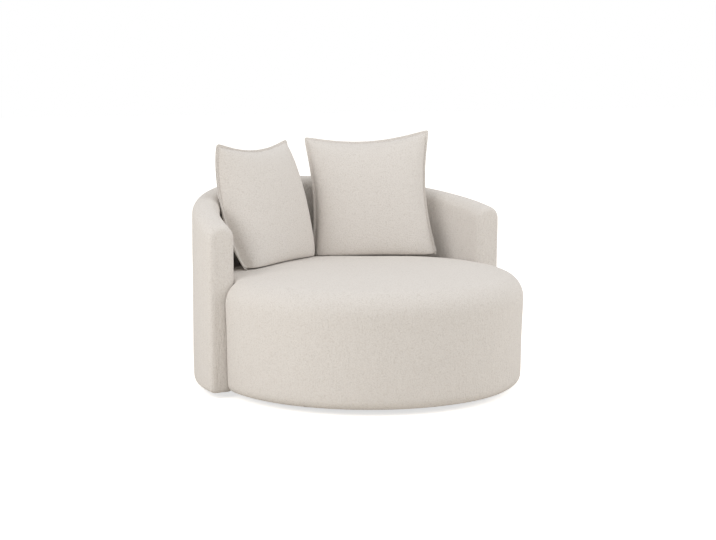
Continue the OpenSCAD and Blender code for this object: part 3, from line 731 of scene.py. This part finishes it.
def sweep_back(points, first, last, steps):
    """A closed section swept about the back's centre between two angles counted from +X, with its ends
    filled."""
    bm = bmesh.new()
    section = chain(bm, points, closed=True)
    bmesh.ops.rotate(bm, verts=bm.verts, cent=(0, 0, 0), matrix=Matrix.Rotation(first, 3, "Z"))
    bmesh.ops.translate(bm, verts=bm.verts, vec=(0, BACK_Y, 0))
    bmesh.ops.spin(bm, geom=section, cent=(0, BACK_Y, 0), axis=(0, 0, 1), angle=last - first, steps=steps)
    bmesh.ops.remove_doubles(bm, verts=bm.verts, dist=1e-5)
    ends = [e for e in bm.edges if e.is_boundary]
    caps = bmesh.ops.edgeloop_fill(bm, edges=ends)["faces"]
    bmesh.ops.recalc_face_normals(bm, faces=bm.faces)
    return bm, caps


def round_ends(bm, caps, radius):
    """Rounds the edge round each flat end, then gives the flat a ring of faces of its own."""
    middles = [f.calc_center_median() for f in caps]
    bmesh.ops.bevel(
        bm, geom=[e for f in caps for e in f.edges], offset=radius, affect="EDGES", segments=4, profile=0.5,
        material=-1,
    )
    flats = [min(bm.faces, key=lambda f: (f.calc_center_median() - middle).length) for middle in middles]
    for flat in flats:
        bmesh.ops.inset_region(bm, faces=[flat], thickness=0.010)


def back_profile(t, rows=14):
    """The back's closed section (r, z) with a level rim, from the outer foot over the rim to the inner."""
    r1, r2 = BACK_IN + t, BACK_OUT - t
    foot, edge = BACK_FOOT - t, RIM_ROUND - t
    low, high = HEM_Z + t, RIM_H - t / cos(RIM_TILT)
    outer, inner = [(r2, low + foot), (r2, high - edge)], [(r1, high - edge), (r1, low + foot)]
    return (
        arc(r2 - foot, low + foot, foot, -90, 0, 4) + stretch(*outer, rows)
        + arc(r2 - edge, high - edge, edge, 0, 90, 6) + arc(r1 + edge, high - edge, edge, 90, 180, 6)
        + stretch(*inner, rows) + arc(r1 + foot, low + foot, foot, 180, 270, 4)
        + stretch((r1 + foot, low), (r2 - foot, low), 4)
    )


def slope_back(bm, t):
    """The slope of the rim for a layer t inside the cover's face."""
    high = RIM_H - t / cos(RIM_TILT) - (RIM_ROUND - t)
    slope_rim(bm, HEM_Z + BACK_FOOT, high, BACK_IN + RIM_ROUND, BACK_OUT - RIM_ROUND, settled=1)


def make_back_cover():
    """The nubby cover of the back and arms, hemmed under the frame and rounded down the arms' ends."""
    bm, caps = sweep_back(back_profile(0), 0, pi, 60)
    round_ends(bm, caps, END_ROUND)
    opening = (BACK_IN + BACK_FOOT + HEM_W, BACK_OUT - BACK_FOOT - HEM_W)
    under = []
    for face in bm.faces:
        centre = face.calc_center_median()
        if centre.z < HEM_Z + 0.001 and opening[0] < hypot(centre.x, centre.y - BACK_Y) < opening[1]:
            under.append(face)
    bmesh.ops.delete(bm, geom=under, context="FACES")
    slope_back(bm, 0)
    soft_waves(bm, 0.17, 0.0020, 2, hem=0.2)
    piece = add_piece("back_upholstery", bm, "loveseat", "boucle", "back_cover", fill=0.85)
    add_modifiers(piece, wall=COVER_T)


def block(r1, r2, low, high, rows):
    """A closed rectangular section (r, z) with points along its sides."""
    corners = [(r2, low), (r2, high), (r1, high), (r1, low)]
    steps = [rows, 2, rows, 2]
    points = []
    for first, last, count in zip(corners, corners[1:] + corners[:1], steps):
        points += [first] + stretch(first, last, count)
    return points


def make_wall_foam(name, node, r1, r2, foot_outside):
    """The padding on one face of the back's frame, rounded at the foot on the side of the cover."""
    low, top = HEM_Z + PAD_T, RIM_H - FRAME_DROP
    foot = BACK_FOOT - PAD_T
    bm, _ = sweep_back(
        block(r1, r2, low, top, 10), pi / 2 - FRAME_ANGLE, pi / 2 + FRAME_ANGLE, FRAME_STEPS
    )
    face_r = r2 if foot_outside else r1
    for vert in bm.verts:
        reach = hypot(vert.co.x, vert.co.y - BACK_Y)
        depth = foot - abs(reach - face_r)
        if vert.co.z < low + foot and depth > 0:
            vert.co.z = max(vert.co.z, low + foot - sqrt(foot ** 2 - depth ** 2))
    slope_rim(bm, low + foot, top, PAST_INNER, PAST_OUTER)
    soft_waves(bm, 0.08, 0.0006, 5)
    add_piece(name, bm, "loveseat", "foam", node, fill=1)


def make_rim_foam():
    """The rounded padding over the frame's top rail."""
    r1, r2 = BACK_IN + PAD_T, BACK_OUT - PAD_T
    edge = RIM_ROUND - PAD_T
    high, low = RIM_H - PAD_T / cos(RIM_TILT), RIM_H - FRAME_DROP + FIT
    outline = (
        [(r2, low)] + arc(r2 - edge, high - edge, edge, 0, 90, 6)
        + arc(r1 + edge, high - edge, edge, 90, 180, 6) + [(r1, low)] + stretch((r1, low), (r2, low), 5)
    )
    bm, _ = sweep_back(outline, pi / 2 - FRAME_ANGLE, pi / 2 + FRAME_ANGLE, FRAME_STEPS)
    for vert in bm.verts:
        flat_low = vert.co.z < low + 0.001
        if flat_low:
            vert.co.z += rim_lift(vert.co, PAST_INNER, PAST_OUTER)
        else:
            lift = rim_lift(vert.co, BACK_IN + RIM_ROUND, BACK_OUT - RIM_ROUND)
            vert.co.z += lift - end_drop(vert.co)
    add_piece("back_rim_padding", bm, "loveseat", "foam", "back_top_foam", fill=1)


def make_end_foams():
    """The padding down both arms' ends."""
    both = bmesh.new()
    start, end = FRAME_ANGLE + FIT / BACK_IN, pi / 2 - PAD_T / BACK_MID
    for first, last in ((pi / 2 - start, pi / 2 - end), (pi / 2 + start, pi / 2 + end)):
        bm, caps = sweep_back(back_profile(PAD_T, rows=10), first, last, 3)
        tip = min(caps, key=lambda f: f.calc_center_median().y)
        round_ends(bm, [tip], END_ROUND - PAD_T)
        slope_back(bm, PAD_T)
        half = bpy.data.meshes.new("arm_end")
        bm.to_mesh(half)
        bm.free()
        both.from_mesh(half)
        bpy.data.meshes.remove(half)
    add_piece("arm_end_padding", both, "loveseat", "foam", "back_end_foams", fill=1)


def make_back_dust_cover():
    """A strip of black cloth under the back and arms."""
    top, sag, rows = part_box("back_dust_cover")[1][2] - CLOTH_AIR, 0.0012, 4
    r1 = BACK_IN + BACK_FOOT + HEM_W / 2
    r2 = BACK_OUT - BACK_FOOT - HEM_W / 2
    bm = bmesh.new()
    strip = chain(bm, [(r1 + (r2 - r1) * i / rows, top) for i in range(rows + 1)])
    bmesh.ops.rotate(
        bm, verts=bm.verts, cent=(0, 0, 0), matrix=Matrix.Rotation(pi / 2 - FRAME_ANGLE, 3, "Z")
    )
    bmesh.ops.translate(bm, verts=bm.verts, vec=(0, BACK_Y, 0))
    bmesh.ops.spin(bm, geom=strip, cent=(0, BACK_Y, 0), axis=(0, 0, 1), angle=2 * FRAME_ANGLE, steps=90)
    close_seams(bm)
    for vert in bm.verts:
        share = (hypot(vert.co.x, vert.co.y - BACK_Y) - r1) / (r2 - r1)
        vert.co.z -= sag * sin(pi * min(1, max(0, share)))
    piece = add_piece("back_underside_cloth", bm, "loveseat", "dark_cloth", "back_dust_cover")
    add_modifiers(piece, wall=CLOTH_T, levels=0)


# Cushions
def cushion_matrix(side):
    """From a cushion's own frame, X across, Y up and Z to the sitter, to its place."""
    corners = [c for part in ("front", "rear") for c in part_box(f"{side}_cushion_{part}")]
    centre = Vector([(min(c[i] for c in corners) + max(c[i] for c in corners)) / 2 for i in range(3)])
    return (
        Matrix.Translation(centre)
        @ Matrix.Rotation(-CUSHION_TURN[side], 4, "Z")
        @ Matrix.Rotation(pi / 2 - CUSHION_LEAN[side], 4, "X")
        @ Matrix.Rotation(CUSHION_ROLL[side], 4, "Z")
    )


def cushion_point(u, v, face, half, deep):
    """A point of a cushion's face in its own frame; u and v run from -1 to 1."""
    swell = max(0, (1 - u * u) * (1 - v * v))
    blunt = CORNER_BLUNT * (u * v) ** 8
    return Vector((
        half * u * (1 - CUSHION_PINCH * (1 - v * v) - blunt),
        half * v * (1 - CUSHION_PINCH * (1 - u * u) - blunt),
        face * deep * swell ** CUSHION_FULL,
    ))


def cushion_blank(half):
    """The front and the rear panel, gridded and joined along their edge, in the cushion's own frame."""
    bm = bmesh.new()
    panel = bm.faces.layers.int.new("panel")
    for face in (1, -1):
        grid = bmesh.ops.create_grid(bm, x_segments=CUSHION_CELLS, y_segments=CUSHION_CELLS, size=1)
        for vert in grid["verts"]:
            u, v = (0.4 * a + 0.6 * sin(a * pi / 2) for a in vert.co.to_2d())
            vert.co = cushion_point(u, v, face, half, BLANK_DEEP)
            for near in vert.link_faces:
                near[panel] = face
    close_seams(bm)
    return bm


def stuff(bm, pressure, furthest):
    """Blows the cover up as cloth, and lets no point move further than a limit."""
    data = bpy.data.meshes.new("stuffing")
    bm.to_mesh(data)
    cover = bpy.data.objects.new("stuffing", data)
    bpy.context.collection.objects.link(cover)
    cloth = cover.modifiers.new("cloth", "CLOTH")
    cloth.settings.quality = 6
    cloth.settings.mass = 0.4
    cloth.settings.tension_stiffness = 25
    cloth.settings.compression_stiffness = 5
    cloth.settings.shear_stiffness = 8
    cloth.settings.bending_stiffness = 20
    cloth.settings.air_damping = 4
    cloth.settings.use_pressure = True
    cloth.settings.uniform_pressure_force = pressure
    cloth.settings.effector_weights.gravity = 0
    frames = 20
    cloth.point_cache.frame_start = 1
    cloth.point_cache.frame_end = frames
    scene = bpy.context.scene
    for frame_number in range(1, frames + 1):
        scene.frame_set(frame_number)
    view = bpy.context.evaluated_depsgraph_get()
    ends = [v.co.copy() for v in cover.evaluated_get(view).data.vertices]
    bm.verts.ensure_lookup_table()
    for vert, end in zip(bm.verts, ends):
        move = end - vert.co
        if move.length > furthest:
            move *= furthest / move.length
        vert.co += move
    bpy.data.objects.remove(cover)
    bpy.data.meshes.remove(data)
    scene.frame_set(1)


def size_cushion(bm, half):
    """Brings the stuffed cover to its measure."""
    wide = max(abs(v.co.x) for v in bm.verts) + max(abs(v.co.y) for v in bm.verts)
    thick = max(abs(v.co.z) for v in bm.verts)
    grow = (2 * half / wide, 2 * half / wide, CUSHION_DEEP / thick)
    bmesh.ops.scale(bm, vec=grow, verts=bm.verts)


def settle_fill(bm, rear):
    """Makes the faces flatter towards the seam, by one power in front and another at the rear, and lets the
    fill sink so that the cushion is fullest at the bottom."""
    for vert in bm.verts:
        low = min(1, max(0, (1 - vert.co.y / CUSHION_HALF) / 2))
        power = (CUSHION_FRONT if vert.co.z > 0 else rear) - 0.6 * low ** 2
        share = min(1, abs(vert.co.z) / CUSHION_DEEP) ** power
        vert.co.z = copysign(CUSHION_DEEP * share, vert.co.z)
        vert.co.y -= CUSHION_SINK * share * low ** 2


def outward(vert):
    """The way out of a panel at a vertex of its edge, long enough that a strip keeps its width."""
    ways = []
    for edge in vert.link_edges:
        if edge.is_boundary:
            inside = edge.link_faces[0].calc_center_median() - vert.co
            way = (edge.other_vert(vert).co - vert.co).to_2d().normalized().orthogonal()
            ways.append(way if way.dot(inside.to_2d()) < 0 else -way)
    first, second = ways
    return ((first + second) / max(1, 1 + first.dot(second))).to_3d()


def cut_panel(stuffed, face):
    """One panel of the stuffed cover, with its edge turned out flat past the stitches."""
    bm = stuffed.copy()
    panel = bm.faces.layers.int["panel"]
    bmesh.ops.delete(bm, geom=[f for f in bm.faces if f[panel] != face], context="FACES")
    rim = [e for e in bm.edges if e.is_boundary]
    for vert in {v for e in rim for v in e.verts}:
        vert.co.z += face * CUSHION_COVER_T
    for out, rise in SEAM_STEPS:
        ways = {v: outward(v) for e in rim for v in e.verts}
        grown = bmesh.ops.extrude_edge_only(bm, edges=rim)["geom"]
        rim = [g for g in grown if isinstance(g, bmesh.types.BMEdge) and g.is_boundary]
        new = {v for e in rim for v in e.verts}
        for vert, way in ways.items():
            for edge in vert.link_edges:
                other = edge.other_vert(vert)
                if other in new:
                    other.co = vert.co + way * SEAM_W * out + Vector((0, 0, face * rise))
    bmesh.ops.recalc_face_normals(bm, faces=bm.faces)
    if sum(f.normal.z * f.calc_area() for f in bm.faces) * face < 0:
        bmesh.ops.reverse_faces(bm, faces=bm.faces)
    return bm


def pull_cushion(bm, side):
    """Draws the corners and the sides of a cushion to where this one's fabric has settled."""
    top_left, top_right, low_left, low_right = (Vector(p) / 1000 for p in CORNER_PULL[side])
    top, right, low, left = (p / 1000 for p in SIDE_PULL[side])
    for vert in bm.verts:
        u = min(1, max(-1, vert.co.x / CUSHION_HALF))
        v = min(1, max(-1, vert.co.y / CUSHION_HALF))
        pull = (
            (1 - u) * (1 + v) * top_left + (1 + u) * (1 + v) * top_right
            + (1 - u) * (1 - v) * low_left + (1 + u) * (1 - v) * low_right
        ) / 4
        across = (1 - v * v) * (right * ((1 + u) / 2) ** 2 - left * ((1 - u) / 2) ** 2)
        up = (1 - u * u) * (top * ((1 + v) / 2) ** 2 - low * ((1 - v) / 2) ** 2)
        back = SEAM_BACK[side] * (1 - v * v) * ((1 - u) / 2) ** 2
        vert.co += Vector((pull.x + across, pull.y + up, -back))


def give_way(gap, air, soft):
    """A gap to a surface, eased from a soft distance on so that it never falls below the air left."""
    if gap >= soft:
        return gap
    return air + (soft - air) * exp((gap - soft) / (soft - air))


def rest_cushion(bm):
    """Presses a cushion's points on the seat and against the back instead of into them."""
    air, soft = 0.0008, 0.006
    for vert in bm.verts:
        x, y, z = vert.co
        reach = hypot(x, y - BACK_Y)
        top = RIM_H + (y - BACK_Y) * (1 + RIM_ROUND / BACK_IN) * tan(RIM_TILT)
        below = top - z
        if below > 0:
            drop = max(0, RIM_ROUND - below)
            wall = BACK_IN + RIM_ROUND - sqrt(RIM_ROUND ** 2 - drop ** 2)
            pressed = wall - give_way(wall - reach, air, soft)
            x, y = x * pressed / reach, BACK_Y + (y - BACK_Y) * pressed / reach
        seat = seat_top(hypot(x, y))
        vert.co = (x, y, seat + give_way(z - seat, air, soft))


def draw_in(bm, depth):
    """Moves every point of a closed form inwards by a depth."""
    bm.normal_update()
    moves = [(v, v.normal * depth) for v in bm.verts]
    for vert, move in moves:
        vert.co -= move


def make_cushion(side):
    """One scatter cushion: two panels sewn together round the edge, and the fill inside."""
    matrix = cushion_matrix(side)
    half = CUSHION_HALF - SEAM_W
    stuffed = cushion_blank(half)
    stuff(stuffed, pressure=3, furthest=0.025)
    size_cushion(stuffed, half)
    settle_fill(stuffed, CUSHION_REAR[side])
    fill = stuffed.copy()
    bmesh.ops.scale(fill, vec=FILL_SIZE, verts=fill.verts)
    body = f"{side}_cushion"
    forms = {"front": cut_panel(stuffed, 1), "rear": cut_panel(stuffed, -1), "fill": fill}
    stuffed.free()
    for part, bm in forms.items():
        pull_cushion(bm, side)
        bmesh.ops.transform(bm, matrix=matrix, verts=bm.verts)
        rest_cushion(bm)
        if part == "fill":
            draw_in(bm, CUSHION_COVER_T + FILL_GAP)
            piece = add_piece(f"{body}_stuffing", bm, body, "wadding", f"{body}_fill", fill=0.75)
            add_modifiers(piece)
        else:
            piece = add_piece(
                f"{body}_{part}_panel", bm, body, "boucle", f"{body}_{part}", fill=0.75,
                finish="cushion_boucle",
            )
            add_modifiers(piece, wall=CUSHION_COVER_T)


make_seat_cover()
make_seat_wadding()
make_seat_foam()
make_side_foam()
make_spring_canvas()
make_seat_dust_cover()
make_back_cover()
inner_face, outer_face = BACK_IN + PAD_T, BACK_OUT - PAD_T
make_wall_foam(
    "back_inner_padding", "back_inner_foam", inner_face, inner_face + INNER_FOAM, foot_outside=False
)
make_wall_foam(
    "back_outer_padding", "back_outer_foam", outer_face - OUTER_FOAM, outer_face, foot_outside=True
)
make_rim_foam()
make_end_foams()
make_back_dust_cover()
for side in ("left", "right"):
    make_cushion(side)


# Studio
def make_floor():
    """A plain white floor that keeps a soft shadow."""
    bm = bmesh.new()
    bmesh.ops.create_grid(bm, x_segments=1, y_segments=1, size=30)
    data = bpy.data.meshes.new("floor")
    bm.to_mesh(data)
    bm.free()
    floor = bpy.data.objects.new("floor", data)
    bpy.context.collection.objects.link(floor)
    material = bpy.data.materials.new("white_floor")
    material.use_nodes = True
    tree = material.node_tree
    shader = tree.nodes["Principled BSDF"]
    shader.inputs["Base Color"].default_value = (0.82, 0.785, 0.73, 1)
    shader.inputs["Roughness"].default_value = 1
    shader.inputs["Specular IOR Level"].default_value = 0
    shader.inputs["Emission Color"].default_value = (1, 1, 1, 1)
    rays = tree.nodes.new("ShaderNodeLightPath")
    seen = math_node(tree, "MAXIMUM", rays.outputs["Is Camera Ray"], rays.outputs["Is Glossy Ray"])
    seen = math_node(tree, "MAXIMUM", seen, rays.outputs["Is Transmission Ray"])
    glow = 0.68
    tree.links.new(math_node(tree, "MULTIPLY", seen, glow), shader.inputs["Emission Strength"])
    data.materials.append(material)


def make_world():
    """Even white surroundings, plain white where the camera sees them."""
    world = bpy.data.worlds.new("studio")
    bpy.context.scene.world = world
    world.use_nodes = True
    tree = world.node_tree
    backdrop = tree.nodes["Background"]
    backdrop.inputs["Color"].default_value = (1, 1, 1, 1)
    rays = tree.nodes.new("ShaderNodeLightPath")
    seen = math_node(tree, "MAXIMUM", rays.outputs["Is Camera Ray"], rays.outputs["Is Glossy Ray"])
    seen = math_node(tree, "MAXIMUM", seen, rays.outputs["Is Transmission Ray"])
    ambient = 0.72
    tree.links.new(
        math_node(tree, "MULTIPLY_ADD", seen, 1 - ambient, ambient), backdrop.inputs["Strength"]
    )


def add_lamp(name, place, target, size, power, colour=(1, 1, 1)):
    """A square soft light that faces its target."""
    data = bpy.data.lights.new(name, "AREA")
    data.shape = "SQUARE"
    data.size = size
    data.energy = power
    data.color = colour
    lamp = bpy.data.objects.new(name, data)
    bpy.context.collection.objects.link(lamp)
    lamp.location = place
    lamp.rotation_euler = (Vector(target) - Vector(place)).to_track_quat("-Z", "Y").to_euler()


make_floor()
make_world()
add_lamp("left_softbox", (-4.5, -1.0, 2.8), (0, 0, 0.5), 2.5, 82)
add_lamp("right_softbox", (4.0, -3.0, 3.0), (0, 0, 0.5), 2.5, 70)
add_lamp("top_softbox", (0.3, -0.5, 4.5), (0, 0, 0), 3.0, 14)
bpy.context.scene.view_settings.view_transform = "Standard"
